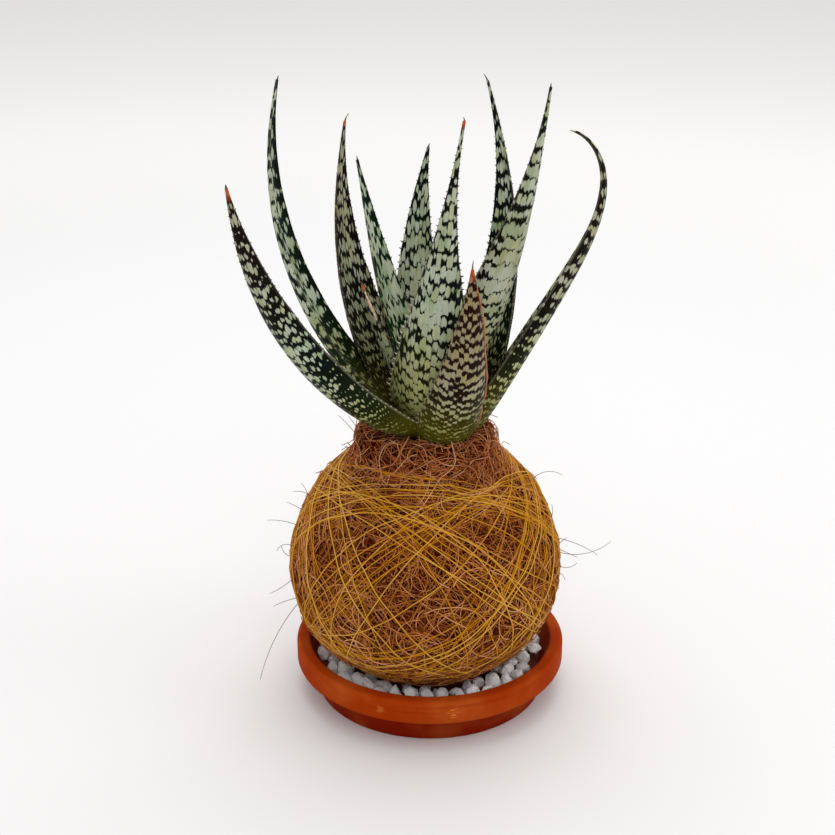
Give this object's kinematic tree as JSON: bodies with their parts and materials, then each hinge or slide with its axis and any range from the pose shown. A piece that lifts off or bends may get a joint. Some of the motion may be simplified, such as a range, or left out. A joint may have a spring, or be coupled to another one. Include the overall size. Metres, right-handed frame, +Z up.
{
  "type": "kokedama ball plant",
  "caption": "Spotted aloe rosette growing from a soil ball wrapped in coir fibre and wound with golden thread, seated in white gravel in a round terracotta saucer.",
  "frame": {"origin": "centre of the saucer's flat underside", "axes": "+Z up along the plant's height, +X to the right and -Y towards the viewer of the picture"},
  "size_m": [0.1335, 0.119, 0.2569],
  "materials": {
    "terracotta": "satin",
    "white_gravel": "matte",
    "potting_soil": "matte",
    "coir_fibre": "matte",
    "golden_thread": "satin",
    "plant_stem": "matte",
    "aloe_leaf": "satin"
  },
  "bodies": {
    "root": {"saucer": "terracotta", "gravel_bed": "white_gravel", "soil_core": "potting_soil", "coir_wrap": "coir_fibre", "winding_thread": "golden_thread", "stem": "plant_stem", "leaf_young": "aloe_leaf", "leaf_inner_left": "aloe_leaf", "leaf_back": "aloe_leaf", "leaf_right_tall": "aloe_leaf", "leaf_front": "aloe_leaf", "leaf_back_left": "aloe_leaf", "leaf_back_right": "aloe_leaf", "leaf_left": "aloe_leaf", "leaf_left_low": "aloe_leaf", "leaf_right_curled": "aloe_leaf", "leaf_front_short": "aloe_leaf"}
  },
  "joints": []
}
